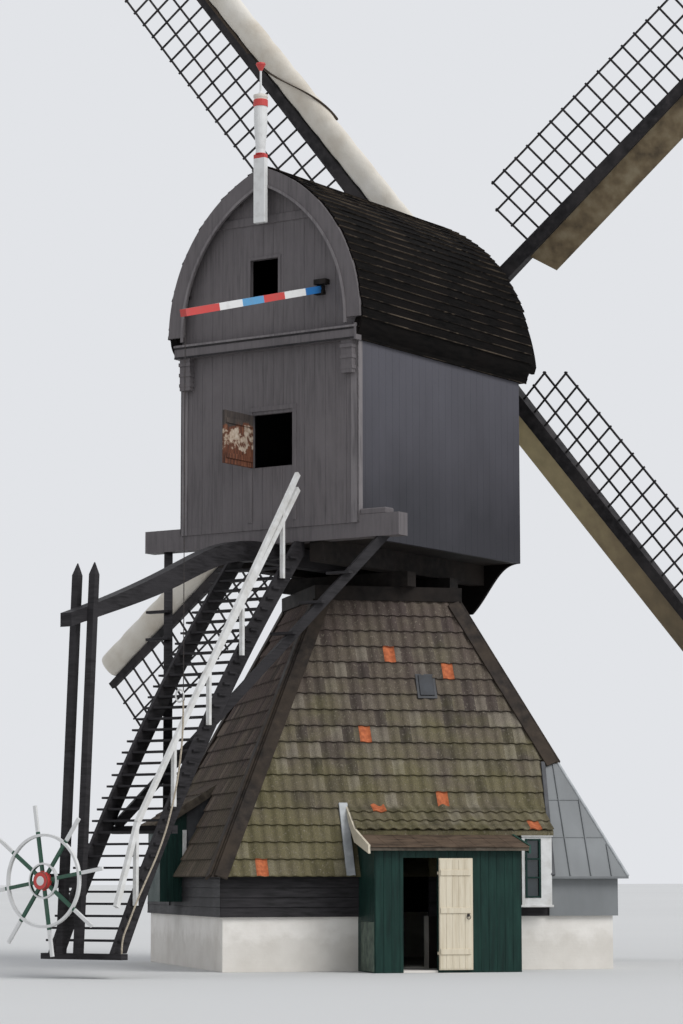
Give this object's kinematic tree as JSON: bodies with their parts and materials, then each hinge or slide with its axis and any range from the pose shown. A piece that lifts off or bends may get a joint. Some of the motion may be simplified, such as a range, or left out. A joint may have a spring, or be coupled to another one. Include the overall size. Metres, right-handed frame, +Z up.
{
  "type": "hollow post mill",
  "caption": "Traditional hollow post mill: a square tiled tower with porches under a timber upper house that turns with its tail stairs, winding wheel and four lattice sails.",
  "frame": {"origin": "on the ground under the tower's axis, at the floor's underside", "axes": "+Z up, -Y out of the face with the large porch, -X out of the face with the small porch"},
  "size_m": [17.8855, 18.5896, 23.6959],
  "materials": {
    "black_boards": "tarred",
    "brown_boards": "weathered",
    "cream_boards": "painted",
    "dark_boards": "weathered paint",
    "glass": "clear",
    "green_boards": "painted",
    "green_paint": "painted",
    "iron": "dull",
    "masonry": "whitewashed",
    "roof_tiles": "mossy",
    "rope": "twisted",
    "sail_cloth": "canvas",
    "timber": "rough",
    "white_paint": "painted",
    "zinc": "weathered"
  },
  "bodies": {
    "tower": {"ground_floor": "masonry", "plinth": "masonry", "board_band": "black_boards", "hip_boards": "dark_boards", "tile_slope_front": "roof_tiles", "tile_slope_right": "roof_tiles", "tile_slope_rear": "roof_tiles", "tile_slope_left": "roof_tiles", "flared_tiles": "roof_tiles", "tower_collar": "dark_boards", "hollow_post": "timber", "porch_walls": "green_boards", "porch_floor": "masonry", "porch_roof": "brown_boards", "porch_verges": "cream_boards", "door_hinge_pins": "iron", "small_porch_walls": "green_boards", "small_porch_roof": "roof_tiles", "window_frame": "white_paint", "roof_light": "zinc", "window_glass": "glass", "zinc_corner": "zinc"},
    "upper_house": {"brake_line": "iron", "brake_pole": "white_paint", "brake_rope": "rope", "corbels": "dark_boards", "cross_beam": "dark_boards", "finial": "white_paint", "front_wall": "dark_boards", "gable_beam": "dark_boards", "house_floor": "timber", "house_roof": "black_boards", "house_side_walls": "dark_boards", "lower_leaf": "dark_boards", "rear_fascia": "black_boards", "rear_wall_sides": "dark_boards", "rear_wall_top": "dark_boards", "saddle_frame": "timber", "shaft_beams": "timber", "stair_foot": "black_boards", "stair_rail": "white_paint", "stair_stringers": "black_boards", "stair_treads": "black_boards", "tail_beam": "black_boards", "tail_posts": "black_boards", "tail_struts": "black_boards", "upper_leaf": "brown_boards", "wheel_bearings": "black_boards"},
    "sails": {"front_stock": "black_boards", "back_stock": "black_boards", "windshaft": "iron", "leading_boards": "brown_boards", "cloth_rolls": "sail_cloth", "sail_lattice_1": "black_boards", "sail_lattice_2": "black_boards", "sail_lattice_3": "black_boards", "sail_lattice_4": "black_boards"},
    "winding_wheel": {"winding_wheel": "green_paint"},
    "porch_door": {"porch_door": "cream_boards"}
  },
  "joints": [
    {"name": "house_turn", "type": "hinge", "parent": "tower", "child": "upper_house", "pos_m": [0, 0, 7.245], "axis": [0, 0, 1], "continuous": true},
    {"name": "sail_turn", "type": "hinge", "parent": "upper_house", "child": "sails", "pos_m": [2.5299, 2.34271, 13.29], "axis": [0.7163, 0.6633, 0.2164], "continuous": true},
    {"name": "wheel_turn", "type": "hinge", "parent": "upper_house", "child": "winding_wheel", "pos_m": [-7.29737, -6.30768, 1.64], "axis": [-0.7337, -0.6794, 0], "continuous": true},
    {"name": "door_turn", "type": "hinge", "parent": "tower", "child": "porch_door", "pos_m": [-0.01, -4.906, 0.32], "axis": [0, 0, 1], "range_deg": [-180, 0]}
  ]
}
